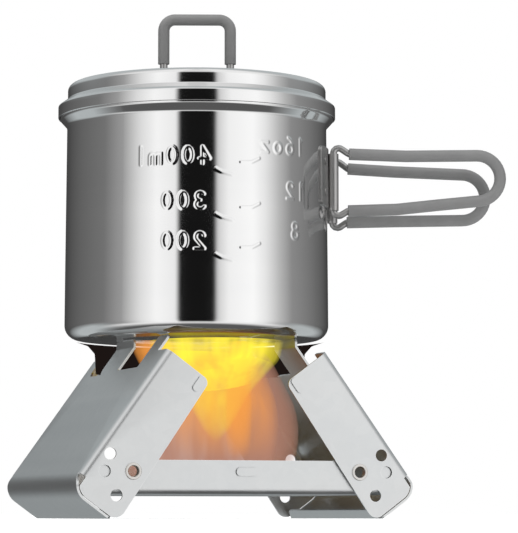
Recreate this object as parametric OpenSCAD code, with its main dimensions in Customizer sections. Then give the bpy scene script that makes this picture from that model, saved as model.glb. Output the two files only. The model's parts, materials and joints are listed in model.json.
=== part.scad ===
// Folding pocket stove in its A-shaped cooking position, with a lidded pot standing on it.
// Millimetres, +Z up. The origin is the middle of the stove on the ground. The legs face -X and +X.

/* [Sheet] */
// thickness of the galvanised sheet
sheet = 0.8; // [0.6:0.1:1.2]
// width over the outside of both side panels
stove_width = 90; // [80:1:100]
// gap between a leg's side panel and the tray wall
side_gap = 0.5; // [0.4:0.1:0.8]

/* [Legs] */
// half the distance between the left and right rivets
rivet_x = 40.8; // [38:0.2:44]
// angle of the leg's outer panel from the ground while cooking
lean = 54; // [50:1:58]
// length of the side panel above the rivet
leg_up = 40.6; // [38:0.2:42]
// length of the leg below the rivet
leg_down = 18; // [17:0.5:20]
// distance from the rivet to the outer panel's outside
panel_out = 14.6; // [13:0.2:16]
// free edge of the side panel at its upper end, below the rivet line
edge_top = 3.9; // [3:0.1:5]
// free edge of the side panel at its lower end
edge_low = 5.6; // [5:0.1:6.5]
// bend radius between the outer panel and the side panels
side_bend = 2.4; // [1.6:0.2:4]
// bend radius between the outer panel and the end plate
end_bend = 6.5; // [5:0.5:8]
// length of the lip folded in at the foot
lip_length = 3.4; // [2.5:0.1:3.8]
// radius from the rivet to the three locating holes
detent_radius = 9.95; // [9:0.05:11]
// radius of each locating hole
detent_hole = 2.1; // [1.8:0.1:2.4]

/* [Pot supports] */
// height of the pot's underside
pot_z = 63.2; // [60:0.2:68]
// clearance on each side of a tab when the stove is shut
tab_clear = 0.5; // [0.3:0.1:0.8]
// depth of the deep notch below the panel's corners
notch_depth = 6.6; // [6:0.1:8]
// depth of the round-bottomed slot
slot_depth = 7.7; // [7.4:0.1:9]
// height of the bent tip of the wide tab
tip_height = 3.1; // [2:0.1:4]

/* [Tray] */
// height of the tray's underside
tray_z = 8.1; // [7:0.1:10]
// height of the tray's wall
tray_wall = 11.7; // [9:0.1:13]
// half length of the tray's walls
tray_half = 53.6; // [50:0.2:54]
// half length of the tray's floor
floor_half = 51.6; // [48:0.2:52]

/* [Rivets] */
// outside radius of the hollow rivet
rivet_r = 2.25; // [2:0.05:2.5]
// bore radius of the hollow rivet
rivet_bore = 1.9; // [1.6:0.05:2]
// flange radius of the hollow rivet
rivet_flange = 2.9; // [2.6:0.1:3.4]

/* [Fuel] */
// length, width and height of one tablet
tablet_size = [16, 26, 8]; // [6:1:40]

/* [Pot] */
// how far left of the stove's middle the pot stands
pot_shift = 3.5; // [0:0.5:8]
// how far the pot is turned on the stove
pot_turn = -18.4; // [-45:0.2:45]
// outside radius at the base
base_radius = 47; // [44:0.2:50]
// outside radius under the rim
top_radius = 46.4; // [44:0.2:50]
// wall thickness
pot_wall = 0.7; // [0.5:0.1:1]
// bottom corner radius
base_round = 5; // [3:0.5:8]
// height where the wall starts to flare
flare_z = 139.1; // [130:0.1:150]
// height where the flare ends
flare_top_z = 141.8; // [132:0.1:152]
// outside radius of the rim
rim_radius = 48.9; // [47:0.1:51]
// height of the rim
rim_z = 146.1; // [140:0.1:155]

/* [Lid] */
// sheet thickness of the lid
lid_wall = 0.6; // [0.4:0.1:0.8]
// outside radius of the lid's skirt
skirt_radius = 49.6; // [49:0.1:51]
// lower edge of the skirt
skirt_low = 142.3; // [141:0.1:144]
// upper edge of the skirt
skirt_high = 146.5; // [145:0.1:148]
// outside radius of the raised middle
crown_radius = 46.2; // [44:0.1:47]
// height where the raised middle starts
crown_low = 148.9; // [148:0.1:150]
// height of the crown's edge
crown_high = 154.2; // [152:0.1:156]
// height of the lid's middle
crown_mid = 156.6; // [154.5:0.1:158]
// shoulder radius of the crown
crown_round = 3; // [2:0.1:4]

/* [Lid bail] */
// height of the bail's hinge
bail_z = 158.9; // [158:0.1:160]
// distance between the bail's two arms
bail_span = 23.9; // [20:0.1:30]
// height of the bail's crossbar
bail_top = 178.7; // [170:0.1:185]
// corner radius of the bail
bail_round = 4; // [3:0.5:6]
// wire radius
bail_wire_r = 1.4; // [1:0.05:1.6]
// sleeve radius
bail_sleeve_r = 2.05; // [1.9:0.05:2.4]
// height where the sleeve starts
bail_sleeve_z = 162.6; // [161:0.1:166]
// length of the hinge barrel
bail_barrel = 21; // [18:0.5:22]

/* [Handles] */
// distance from the pot's axis to the hinge line
hinge_x = 48.8; // [48.6:0.1:52]
// half the distance between the two hinge barrels
hinge_y = 4.5; // [3:0.1:8]
// wire radius
wire_r = 1.2; // [1:0.05:1.3]
// sleeve radius
sleeve_r = 2.1; // [1.9:0.05:2.4]
// bore radius of the hinge barrels
barrel_bore = 1.28; // [1.22:0.01:1.35]
// outside radius of the hinge barrels
barrel_r = 1.8; // [1.7:0.05:2.2]
// lower end of the front barrel
barrel_low = 109.2; // [100:0.1:120]
// length of each barrel
barrel_length = 20.5; // [18:0.1:22]
// how far the rear barrel sits below the front one
rear_drop = 3.6; // [0:0.1:5]
// half angle covered by the bracket
bracket_half = 21; // [12:1:30]

/* [Hidden] */
$fn = 96;
half_w = stove_width / 2;
leg_inner = half_w - sheet;
tray_y = leg_inner - side_gap;
foot_r = 1.2;
foot_u = -leg_down + foot_r;
foot_v = -2.0;
foot_flat = 0.04;
rivet_z = foot_r - foot_flat - foot_u * sin(lean) - foot_v * cos(lean);
tip_u = (pot_z - 0.02 - rivet_z - panel_out * cos(lean)) / sin(lean);
bend_u = (pot_z - 0.02 - tip_height - rivet_z - (panel_out - sheet) * cos(lean)) / sin(lean);
tab2_a = -half_w + 0.11 * stove_width + tab_clear;
tab2_b = -half_w + 0.25 * stove_width - tab_clear;
notch_a = -half_w + 0.25 * stove_width;
notch_b = 1;
tab1_a = 1;
tab1_b = -notch_a - tab_clear;
slot_a = -tab2_b - tab_clear;
slot_b = -tab2_a + tab_clear;
dome_r = (pow(crown_radius - crown_round, 2) + pow(crown_mid - crown_high, 2))
  / (2 * (crown_mid - crown_high));

galv = [0.62, 0.64, 0.65];
steel = [0.78, 0.78, 0.79];
silicone = [0.33, 0.34, 0.34];

// ---------- helpers ----------

// a straight round rod between two points of the XZ plane
module rod(p, q, r) {
  d = [q[0] - p[0], q[1] - p[1]];
  translate([p[0], 0, p[1]])
    rotate([0, atan2(d[0], d[1]), 0])
      cylinder(r = r, h = norm(d));
}

// a ball at a point of the XZ plane
module ball(p, r) {
  translate([p[0], 0, p[1]])
    sphere(r = r);
}

// a round bend in the XZ plane, from angle a0 through a degrees
module elbow(c, big, r, a0, a) {
  translate([c[0], 0, c[1]])
    rotate([90, 0, 0])
      rotate([0, 0, a0])
        rotate_extrude(angle = a)
          translate([big, 0])
            circle(r = r);
}

// a rod with round ends lying on the XZ plane and standing out along -Y
module pill(length, width, height) {
  rotate([90, 0, 0])
    linear_extrude(height = height) {
      square([length - width, width], center = true);
      translate([-(length - width) / 2, 0])
        circle(d = width);
      translate([(length - width) / 2, 0])
        circle(d = width);
    }
}

// places a part in the pot's own frame
module on_pot() {
  translate([-pot_shift, 0, 0])
    rotate([0, 0, pot_turn])
      children();
}

// ---------- legs ----------

// rounded-top channel section, in Y and height
module channel_2d(half, top, r) {
  translate([-half, -12])
    square([2 * half, 12 + top - r]);
  translate([-half + r, -12])
    square([2 * (half - r), 12 + top]);
  translate([-half + r, top - r])
    circle(r = r);
  translate([half - r, top - r])
    circle(r = r);
}

// outline of a side panel, in leg length and height
module side_outline_2d() {
  slope = atan2(edge_low - edge_top, leg_up + 13.4);
  difference() {
    union() {
      translate([-11.2, -edge_low - 0.4])
        square([leg_up + 11.2, panel_out + edge_low + 0.4]);
      translate([-leg_down + sheet + 0.3, -2.1])
        square([7, 10.2]);
      translate([-leg_down + end_bend, panel_out - end_bend])
        circle(r = end_bend - sheet - 0.3);
      translate([-13.4, -2.1])
        circle(r = 3.5);
      translate([-13.4, -5.6])
        square([3, 4]);
    }
    translate([-13.4, -edge_low])
      rotate(slope)
        translate([0, -10])
          square([70, 10]);
    difference() {
      translate([leg_up - 2.5, -5])
        square([4, 5 - edge_top + 2.45]);
      translate([leg_up - 2.5, -edge_top + 2.45])
        circle(r = 2.5);
    }
  }
}

// the folded strip seen from the side: outer panel, round, end plate, foot bend and lip
module strip_2d() {
  cu = -leg_down + end_bend;
  cv = panel_out - end_bend;
  translate([cu, panel_out - sheet])
    square([2, sheet]);
  intersection() {
    difference() {
      translate([cu, cv])
        circle(r = end_bend);
      translate([cu, cv])
        circle(r = end_bend - sheet);
    }
    translate([cu - 10, cv])
      square([10, 10]);
  }
  translate([-leg_down, foot_v])
    square([sheet, cv - foot_v]);
  intersection() {
    difference() {
      translate([foot_u, foot_v])
        circle(r = foot_r);
      translate([foot_u, foot_v])
        circle(r = foot_r - sheet);
    }
    translate([foot_u - 3, foot_v - 3])
      square([3, 3]);
  }
}

// the wide tab: flat, then bent upright at its tip, with round corners
module wide_tab() {
  d = [sin(lean), cos(lean)];
  n = [-cos(lean), sin(lean)];
  a = [bend_u, panel_out - sheet];
  b = [a[0] + d[0] * tip_height, a[1] + d[1] * tip_height];
  step = sheet * (1 - sin(lean)) / cos(lean);
  intersection() {
    translate([0, tab1_b, 0])
      rotate([90, 0, 0])
        linear_extrude(height = tab1_b - tab1_a)
          polygon([
            [leg_up - 1, a[1]], a, b,
            [b[0] + n[0] * sheet, b[1] + n[1] * sheet],
            [a[0] + n[0] * sheet + d[0] * step, panel_out],
            [leg_up - 1, panel_out]
          ]);
    translate([a[0], tab1_a - 0.03, a[1]])
      rotate([0, lean - 90, 0])
        translate([0, 0, -6])
          linear_extrude(height = 12) {
            w = tab1_b - tab1_a + 0.06;
            translate([-20, 0])
              square([20 + tip_height + 0.03 - 1.5, w]);
            translate([-20, 1.5])
              square([20 + tip_height + 0.03, w - 3]);
            for (y = [1.5, w - 1.5])
              translate([tip_height + 0.03 - 1.5, y])
                circle(r = 1.5);
          }
  }
}

module leg_local() {
  fv = foot_v - foot_r;
  difference() {
    union() {
      // the bent channel, trimmed to the side outline
      intersection() {
        translate([-leg_down, 0, 0])
          rotate([90, 0, 90])
            linear_extrude(height = leg_up + leg_down)
              difference() {
                channel_2d(half_w, panel_out, side_bend);
                channel_2d(leg_inner, panel_out - sheet, side_bend - sheet);
              }
        translate([0, half_w + 1, 0])
          rotate([90, 0, 0])
            linear_extrude(height = stove_width + 2)
              side_outline_2d();
      }
      // round end, end plate and foot bend
      translate([0, half_w, 0])
        rotate([90, 0, 0])
          linear_extrude(height = stove_width)
            strip_2d();
      // lip folded in at the foot, with slanted ends
      translate([0, 0, fv])
        linear_extrude(height = sheet)
          polygon([
            [foot_u, -42.4],
            [foot_u + lip_length, -39.4],
            [foot_u + lip_length, 39.4],
            [foot_u, 42.4]
          ]);
      // narrow tab
      translate([leg_up - 1, tab2_a, panel_out - sheet])
        linear_extrude(height = sheet) {
          square([tip_u - leg_up - 0.5, tab2_b - tab2_a]);
          translate([0, 1.5])
            square([tip_u - leg_up + 1, tab2_b - tab2_a - 3]);
          translate([tip_u - leg_up - 0.5, 1.5])
            circle(r = 1.5);
          translate([tip_u - leg_up - 0.5, tab2_b - tab2_a - 1.5])
            circle(r = 1.5);
        }
      wide_tab();
      // pressed ribs beside the free edge
      for (s = [-1, 1])
        scale([1, s, 1])
          translate([leg_up - 3.9, -half_w + 0.2, 0.3])
            pill(6.4, 2.2, 0.7);
    }
    // deep notch
    translate([leg_up - notch_depth, notch_a, panel_out - 4])
      linear_extrude(height = 8) {
        translate([1, 0])
          square([20, notch_b - notch_a]);
        translate([0, 1])
          square([20, notch_b - notch_a - 2]);
        translate([1, 1])
          circle(r = 1);
        translate([1, notch_b - notch_a - 1])
          circle(r = 1);
      }
    // round-bottomed slot
    translate([leg_up - slot_depth, slot_a, panel_out - 4])
      linear_extrude(height = 8) {
        translate([3, 0])
          square([20, slot_b - slot_a]);
        translate([0, 3])
          square([20, slot_b - slot_a - 6]);
        translate([3, 3])
          circle(r = 3);
        translate([3, slot_b - slot_a - 3])
          circle(r = 3);
      }
    // rivet hole, then the three locating holes, through both side panels
    rotate([90, 0, 0])
      cylinder(r = rivet_r + 0.05, h = stove_width + 4, center = true);
    for (a = [90, 180 - lean, 180])
      translate([detent_radius * cos(a), 0, detent_radius * sin(a)])
        rotate([90, 0, 0])
          cylinder(r = detent_hole, h = stove_width + 4, center = true);
  }
}

module left_leg() {
  color(galv)
    translate([-rivet_x, 0, rivet_z])
      rotate([0, -lean, 0])
        difference() {
          leg_local();
          // the ground trims a narrow flat on the foot bend
          rotate([0, lean, 0])
            translate([-40, -60, -rivet_z - 5])
              cube([80, 120, 5]);
        }
}

module right_leg() {
  rotate([0, 0, 180])
    left_leg();
}

// ---------- tray ----------

// cross-section of the tray, in Y and height
module tray_2d() {
  difference() {
    union() {
      translate([-tray_y, 2.5])
        square([2 * tray_y, tray_wall - 2.5]);
      translate([-tray_y + 2.5, 0])
        square([2 * (tray_y - 2.5), tray_wall]);
      for (s = [-1, 1])
        translate([s * (tray_y - 2.5), 2.5])
          circle(r = 2.5);
    }
    translate([-tray_y + sheet, 2.5])
      square([2 * (tray_y - sheet), tray_wall]);
    translate([-tray_y + 2.5, sheet])
      square([2 * (tray_y - 2.5), tray_wall]);
    for (s = [-1, 1])
      translate([s * (tray_y - 2.5), 2.5])
        circle(r = 2.5 - sheet);
  }
}

module tray() {
  top = tray_z + tray_wall;
  color(galv) {
    difference() {
      union() {
        translate([-tray_half, 0, tray_z])
          rotate([90, 0, 90])
            linear_extrude(height = 2 * tray_half)
              tray_2d();
        for (s = [-1, 1])
          scale([1, s, 1]) {
            // pressed rib in the middle of each wall
            translate([0.2, -tray_y + 0.1, tray_z + 7.8])
              pill(8.2, 2.8, 0.5);
            // locating bumps that sit in the legs' holes
            for (x = [-1, 1])
              translate([x * (rivet_x + detent_radius), -tray_y + 0.1, rivet_z])
                rotate([90, 0, 0])
                  cylinder(r1 = 1.9, r2 = 1.2, h = 0.5);
          }
      }
      // the floor stops short of the walls
      for (s = [-1, 1])
        translate([s * (floor_half + 10), 0, tray_z])
          cube([20, 2 * (tray_y - 1.6), 12], center = true);
      // rounded upper corners of the walls
      for (s = [-1, 1])
        translate([s * (tray_half - 3.5), 0, top - 3.5])
          difference() {
            translate([s * 2.5, 0, 2.5])
              cube([5, 120, 5], center = true);
            rotate([90, 0, 0])
              cylinder(r = 3.5, h = 130, center = true);
          }
      // rivet holes
      for (s = [-1, 1])
        translate([s * rivet_x, 0, rivet_z])
          rotate([90, 0, 0])
            cylinder(r = rivet_r + 0.01, h = 130, center = true);
    }
    // low end lips that keep the fuel in
    for (s = [-1, 1])
      translate([s * (floor_half - sheet / 2), 0, tray_z + 1.9])
        cube([sheet, 2 * (tray_y - 3.2), 3.4], center = true);
  }
}

// one hollow rivet at the front left, seen along Y
module rivet_local() {
  color(galv)
    translate([0, 0, rivet_z])
      rotate([90, 0, 0])
        difference() {
          union() {
            translate([0, 0, tray_y - sheet - 0.35])
              cylinder(r = rivet_r, h = sheet * 2 + side_gap + 0.7);
            translate([0, 0, half_w + 0.02])
              cylinder(r1 = rivet_flange, r2 = rivet_flange - 0.35, h = 0.35);
            translate([0, 0, tray_y - sheet - 0.37])
              cylinder(r1 = rivet_flange - 0.3, r2 = rivet_flange, h = 0.35);
          }
          cylinder(r = rivet_bore, h = 60);
        }
}

module rivet_front_left() {
  translate([-rivet_x, 0, 0])
    rivet_local();
}

module rivet_front_right() {
  translate([rivet_x, 0, 0])
    rivet_local();
}

module rivet_rear_left() {
  translate([-rivet_x, 0, 0])
    rotate([0, 0, 180])
      rivet_local();
}

module rivet_rear_right() {
  translate([rivet_x, 0, 0])
    rotate([0, 0, 180])
      rivet_local();
}

// two fuel tablets side by side, with a shallow break line across each
module fuel_tablets() {
  color([0.93, 0.93, 0.9])
    for (s = [-1, 1])
      translate([s * (tablet_size[0] / 2 + 0.6), 0, tray_z + sheet + 0.02])
        difference() {
          translate([0, 0, tablet_size[2] / 2])
            cube(tablet_size, center = true);
          translate([0, 0, tablet_size[2] + 0.35])
            rotate([0, 90, 0])
              cylinder(r = 0.9, h = 40, center = true);
        }
}

// ---------- pot ----------

// a quarter of a round wall; q picks the quadrant: 0 right-up, 3 right-down
module corner_2d(c, r, t, q) {
  intersection() {
    difference() {
      translate(c)
        circle(r = r);
      translate(c)
        circle(r = r - t);
    }
    translate(c)
      rotate(90 * q)
        square([r + 1, r + 1]);
  }
}

module pot_profile() {
  bx = base_radius - base_round;
  bz = pot_z + base_round;
  t = pot_wall;
  // raised middle of the base
  translate([0, pot_z + 0.6])
    square([27, t]);
  polygon([[26, pot_z + 0.6], [28, pot_z], [28, pot_z + t], [26, pot_z + 0.6 + t]]);
  translate([28, pot_z])
    square([bx - 28, t]);
  corner_2d([bx, bz], base_round, t, 3);
  // wall, flare and rim
  polygon([
    [base_radius - t, bz], [base_radius, bz],
    [top_radius, flare_z], [rim_radius, flare_top_z], [rim_radius, rim_z],
    [rim_radius - t, rim_z], [rim_radius - t, flare_top_z + 0.3], [top_radius - t, flare_z + 0.3]
  ]);
}

module pot_body() {
  color(steel)
    on_pot()
      rotate_extrude()
        pot_profile();
}

// ---------- handle bracket ----------

// the curved flange: two halves, the rear one lower, made from one band
module bracket_flange() {
  low = barrel_low + 1 - rear_drop;
  high = barrel_low + barrel_length + 1.6;
  difference() {
    translate([0, 0, low])
      rotate([0, 0, -bracket_half])
        rotate_extrude(angle = 2 * bracket_half)
          translate([46, 0])
            square([1.42, high - low]);
    translate([30, 0, high - rear_drop])
      cube([30, 40, 10]);
    translate([30, -40, low - 5])
      cube([30, 40, 5 + rear_drop]);
  }
}

module weld_spots(r, h) {
  for (s = [-1, 1])
    for (z = [6, 17])
      translate([0, 0, barrel_low + z - (s > 0 ? rear_drop : 0)])
        rotate([0, 0, s * 15])
          rotate([0, 90, 0])
            translate([0, 0, 46.72])
              cylinder(r = r, h = h);
}

module handle_bracket() {
  color(steel)
    on_pot()
      difference() {
        union() {
          bracket_flange();
          for (s = [-1, 1])
            translate([hinge_x, s * hinge_y, barrel_low - (s > 0 ? rear_drop : 0)])
              cylinder(r = barrel_r, h = barrel_length);
        }
        // the pot's wall, with a hair of room
        translate([0, 0, pot_z + base_round])
          cylinder(
            r1 = base_radius + 0.02, r2 = top_radius + 0.02,
            h = flare_z - pot_z - base_round
          );
        for (s = [-1, 1])
          translate([hinge_x, s * hinge_y, 90])
            cylinder(r = barrel_bore, h = 60);
        weld_spots(1.35, 3);
      }
}

module bracket_welds() {
  color(steel)
    on_pot()
      weld_spots(1.3, 0.9);
}

// ---------- folding handles ----------

// each loop: start of the upper arm, middle of the tip bend, its radius, start of the lower arm
front_loop = [[5.6, 129.2], [51.4, 121.0], 8.2, [5.2, 109.1]];
rear_loop = [[5.6, 124.2], [46.7, 115.4], 8.8, [5.2, 106.6]];

// slope of the straight arm from point p that just touches the tip bend on the given side
function arm_slope(p, c, r, side) =
  atan2(c[1] - p[1], c[0] - p[0]) + side * asin(r / norm([c[0] - p[0], c[1] - p[1]]));

// the sleeved part of a loop: upper arm, tip bend and lower arm, each running smoothly into the next;
// where an arm slopes, a ball a hair larger than the rod joins it to the bend
module grip_path(loop, r, swell) {
  c = loop[1];
  k = loop[2];
  a = arm_slope(loop[0], c, k, 1);
  b = arm_slope(loop[3], c, k, -1);
  p = [c[0] + k * cos(90 + a), c[1] + k * sin(90 + a)];
  q = [c[0] + k * cos(b - 90), c[1] + k * sin(b - 90)];
  rod(loop[0], p, r);
  elbow(c, k, r, b - 90, 180 + a - b);
  rod(q, loop[3], r);
  if (swell > 0) {
    ball(p, r + swell);
    ball(q, r + swell);
  }
}

module loop_wire(loop, z0, swell) {
  r = wire_r;
  top = [0, z0 + barrel_length + 3.6];
  bot = [0, z0 - 3.1];
  rod([0, z0 + barrel_length - 9], top, r);
  ball(top, r + 0.03);
  rod(top, loop[0], r);
  ball(loop[0], r + 0.03);
  grip_path(loop, r, swell);
  ball(loop[3], r + 0.03);
  rod(loop[3], bot, r);
  ball(bot, r + 0.03);
  rod(bot, [0, z0 + 9], r);
}

module loop_sleeve(loop, swell) {
  difference() {
    grip_path(loop, sleeve_r, swell);
    grip_path(loop, wire_r + 0.06, swell / 2);
  }
}

module front_handle_wire() {
  color(steel)
    on_pot()
      translate([hinge_x, -hinge_y, 0])
        loop_wire(front_loop, barrel_low, 0.03);
}

module front_handle_sleeve() {
  color(silicone)
    on_pot()
      translate([hinge_x, -hinge_y, 0])
        loop_sleeve(front_loop, 0.08);
}

module rear_handle_wire() {
  color(steel)
    on_pot()
      translate([hinge_x, hinge_y, 0])
        loop_wire(rear_loop, barrel_low - rear_drop, 0);
}

module rear_handle_sleeve() {
  color(silicone)
    on_pot()
      translate([hinge_x, hinge_y, 0])
        loop_sleeve(rear_loop, 0);
}

// ---------- lid ----------

// the lid's filled outline, drawn in by t for its inside
module lid_filled_2d(t) {
  cx = crown_radius - crown_round;
  cz = crown_high - crown_round;
  low = skirt_low - (t > 0 ? 1 : 0);
  // skirt, sloping shoulder and the side of the crown
  polygon([
    [0, low], [skirt_radius - t, low],
    [skirt_radius - t, skirt_high - 0.6 * t], [crown_radius - t, crown_low - 0.6 * t],
    [crown_radius - t, cz], [0, cz]
  ]);
  translate([cx, cz])
    circle(r = crown_round - t);
  // gently domed middle
  intersection() {
    translate([0, crown_mid - dome_r - t])
      circle(r = dome_r, $fn = 360);
    translate([0, cz - 1])
      square([cx, 10]);
  }
}

module lid_shell() {
  color(steel)
    on_pot()
      rotate_extrude()
        difference() {
          lid_filled_2d(0);
          lid_filled_2d(lid_wall);
        }
}

module lid_weld_spots(r, z0, h) {
  for (x = [-1, 1])
    for (y = [-1, 1])
      translate([x * 6.5, y * 5.2, z0])
        cylinder(r = r, h = h);
}

module lid_bracket() {
  color(steel)
    on_pot()
      difference() {
        union() {
          translate([0, 0, crown_mid + 0.42])
            cube([bail_barrel - 1, 15, 0.8], center = true);
          translate([-bail_barrel / 2, 0, bail_z])
            rotate([0, 90, 0])
              cylinder(r = 2.1, h = bail_barrel);
        }
        translate([-20, 0, bail_z])
          rotate([0, 90, 0])
            cylinder(r = bail_wire_r + 0.08, h = 40);
        lid_weld_spots(1.25, crown_mid - 1, 3);
        // trims the barrel where it meets the crown
        translate([-20, -10, crown_mid - 2])
          cube([40, 20, 2.02]);
      }
}

module lid_bracket_welds() {
  color(steel)
    on_pot()
      lid_weld_spots(1.2, crown_mid + 0.03, 0.95);
}

module bail_path(r) {
  h = bail_span / 2;
  k = bail_round;
  rod([-h, bail_sleeve_z], [-h, bail_top - k], r);
  elbow([-h + k, bail_top - k], k, r, 90, 90);
  rod([-h + k, bail_top], [h - k, bail_top], r);
  elbow([h - k, bail_top - k], k, r, 0, 90);
  rod([h, bail_sleeve_z], [h, bail_top - k], r);
}

module bail_wire() {
  h = bail_span / 2;
  color(steel)
    on_pot() {
      bail_path(bail_wire_r);
      for (s = [-1, 1]) {
        rod([s * h, bail_z], [s * h, bail_sleeve_z], bail_wire_r);
        ball([s * h, bail_z], bail_wire_r);
        rod([s * 4, bail_z], [s * h, bail_z], bail_wire_r);
      }
    }
}

module bail_sleeve() {
  color(silicone)
    on_pot()
      difference() {
        bail_path(bail_sleeve_r);
        bail_path(bail_wire_r + 0.03);
      }
}

tray();
left_leg();
right_leg();
rivet_front_left();
rivet_rear_left();
rivet_front_right();
rivet_rear_right();
fuel_tablets();
pot_body();
handle_bracket();
bracket_welds();
front_handle_wire();
front_handle_sleeve();
rear_handle_wire();
rear_handle_sleeve();
lid_shell();
lid_bracket();
lid_bracket_welds();
bail_wire();
bail_sleeve();
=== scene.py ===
# %% [markdown]
# # A folding pocket stove with a lidded pot
# The stove is three pieces of bent galvanised sheet: a tray and two legs that hinge on hollow rivets.
# A polished steel pot with a lid stands on the legs' tabs. The CAD model already fixes every size and
# hinge, so this lesson only builds the surfaces that the eye sees, each in the place the CAD gives it.

# %% Load the frame
import json
from math import atan2, cos, degrees, hypot, pi, radians, sin, tan
import bmesh
import bpy
import numpy as np
from mathutils import Matrix, Vector


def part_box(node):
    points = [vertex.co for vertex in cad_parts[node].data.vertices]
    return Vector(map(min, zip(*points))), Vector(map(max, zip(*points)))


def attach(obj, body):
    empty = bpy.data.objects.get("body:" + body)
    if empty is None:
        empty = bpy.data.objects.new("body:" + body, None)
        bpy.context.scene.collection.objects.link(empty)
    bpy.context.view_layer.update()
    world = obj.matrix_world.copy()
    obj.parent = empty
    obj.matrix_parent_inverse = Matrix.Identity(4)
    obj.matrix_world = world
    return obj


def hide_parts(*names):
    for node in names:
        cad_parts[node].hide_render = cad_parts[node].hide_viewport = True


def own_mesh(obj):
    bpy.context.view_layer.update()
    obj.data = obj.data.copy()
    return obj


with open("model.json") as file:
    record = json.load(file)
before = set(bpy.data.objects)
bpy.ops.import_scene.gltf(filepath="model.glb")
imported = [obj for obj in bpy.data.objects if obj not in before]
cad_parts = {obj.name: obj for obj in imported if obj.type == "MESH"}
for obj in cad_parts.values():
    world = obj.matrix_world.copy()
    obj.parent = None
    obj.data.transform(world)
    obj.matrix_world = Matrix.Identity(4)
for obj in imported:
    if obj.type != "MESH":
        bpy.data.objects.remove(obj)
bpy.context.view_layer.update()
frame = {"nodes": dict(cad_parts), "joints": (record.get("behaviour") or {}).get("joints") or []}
MM = 0.001
joints = {joint["name"]: joint for joint in frame["joints"]}

# %% [markdown]
# Lengths are easier to think about in millimetres, so every piece is shaped in millimetres near the
# origin of its own little workshop frame. A matrix then carries it to its place, and the last step
# scales it to metres. The finished object sits at the origin, unturned, as the CAD nodes do.

# %% Places worked out from the frame


def box_mm(node):
    """The lowest and highest corner of a CAD node, in millimetres."""
    return [Vector(corner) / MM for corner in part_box(node)]


def joint_place(name):
    """Where a joint's axis passes, in millimetres."""
    return Vector(joints[name]["pos_m"]) / MM


pot_low, pot_high = box_mm("pot_body")
pot_axis = Vector(((pot_low.x + pot_high.x) / 2, (pot_low.y + pot_high.y) / 2, 0))
bail_axis = joints["bail_fold"]["axis"]
pot_turn = atan2(bail_axis[1], bail_axis[0])
ON_POT = Matrix.Translation(pot_axis) @ Matrix.Rotation(pot_turn, 4, "Z")
HALF_TURN = Matrix.Rotation(pi, 4, "Z")
print(f"pot axis at {pot_axis.x:.2f} mm, turned {degrees(pot_turn):.1f} degrees")

# %% [markdown]
# Outlines on real sheet metal are straight runs joined by round corners. One helper turns a list of
# corners, each with its own radius, into such an outline. It works for flat outlines, for the
# profiles that are spun on a lathe, and for bent wires.

# %% Round the corners of a path


def rounded(corners, closed=True, steps=6):
    """Replaces each corner (point, radius) with an arc of that radius."""
    points = []
    last = len(corners) - 1
    for i, (place, radius) in enumerate(corners):
        here = Vector(place)
        if radius == 0 or (not closed and i in (0, last)):
            points.append(here)
            continue
        back = (Vector(corners[i - 1][0]) - here).normalized()
        ahead = (Vector(corners[(i + 1) % len(corners)][0]) - here).normalized()
        half = back.angle(ahead) / 2
        centre = here + (back + ahead).normalized() * radius / sin(half)
        start = here + back * radius / tan(half) - centre
        end = here + ahead * radius / tan(half) - centre
        for k in range(steps + 1):
            spoke = start.lerp(end, k / steps)
            points.append(centre + spoke.normalized() * radius)
    return points


def arc(centre, radius, start, stop, steps):
    """Points on a flat arc, in degrees."""
    turns = [radians(start + (stop - start) * k / steps) for k in range(steps + 1)]
    return [Vector((centre[0] + radius * cos(t), centre[1] + radius * sin(t))) for t in turns]


# %% [markdown]
# Every piece ends the same way: its mesh is placed, scaled to metres and given smooth shading that
# stays sharp at real corners. Then it is parented to the body it rides on, and the CAD nodes it stands
# for are hidden.

# %% Finish a piece


def to_object(name, bm):
    """Turns a bmesh into an object of the scene."""
    mesh = bpy.data.meshes.new(name)
    bm.to_mesh(mesh)
    bm.free()
    made = bpy.data.objects.new(name, mesh)
    bpy.context.scene.collection.objects.link(made)
    return made


def finish_piece(name, bm, place, body, material, stands_for=(), outward=True):
    """Makes the bmesh an object in the frame that rides on a body."""
    bmesh.ops.remove_doubles(bm, verts=bm.verts, dist=1e-4)
    if outward:
        bmesh.ops.recalc_face_normals(bm, faces=bm.faces)
    bmesh.ops.transform(bm, matrix=Matrix.Scale(MM, 4) @ place, verts=bm.verts)
    piece = to_object(name, bm)
    piece.data.shade_smooth()
    piece.data.set_sharp_from_angle(angle=radians(38))
    piece.data.materials.append(material)
    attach(piece, body)
    if stands_for:
        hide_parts(*stands_for)
    print(f"{name}: {len(piece.data.polygons)} faces on {body}")
    return piece


# %% [markdown]
# ## Finishes
# The metals share two node groups, each built once. One finds edges with the Bevel node: where its
# rounded normal leaves the true normal, there is an edge, and there a brighter colour is mixed in as a
# painted highlight. The other gives brushed lines, from fine noise that each metal stretches its own
# way, and smudges, from soft, large noise.

# %% Node helpers


def node(tree, kind, values=None, **settings):
    """Adds a node, sets its properties and the values on its sockets."""
    made = tree.nodes.new(kind)
    for key, value in settings.items():
        setattr(made, key, value)
    for key, value in (values or {}).items():
        made.inputs[key].default_value = value
    return made


def join(tree, *pairs):
    """Links (node, output) to (node, input), pair by pair."""
    for (source, out), (target, into) in pairs:
        tree.links.new(source.outputs[out], target.inputs[into])


def new_material(name, empty=False):
    """A material and its node tree, with the usual shader or without any node."""
    material = bpy.data.materials.new(name)
    material.use_nodes = True
    if empty:
        material.node_tree.nodes.clear()
    return material, material.node_tree


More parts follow.
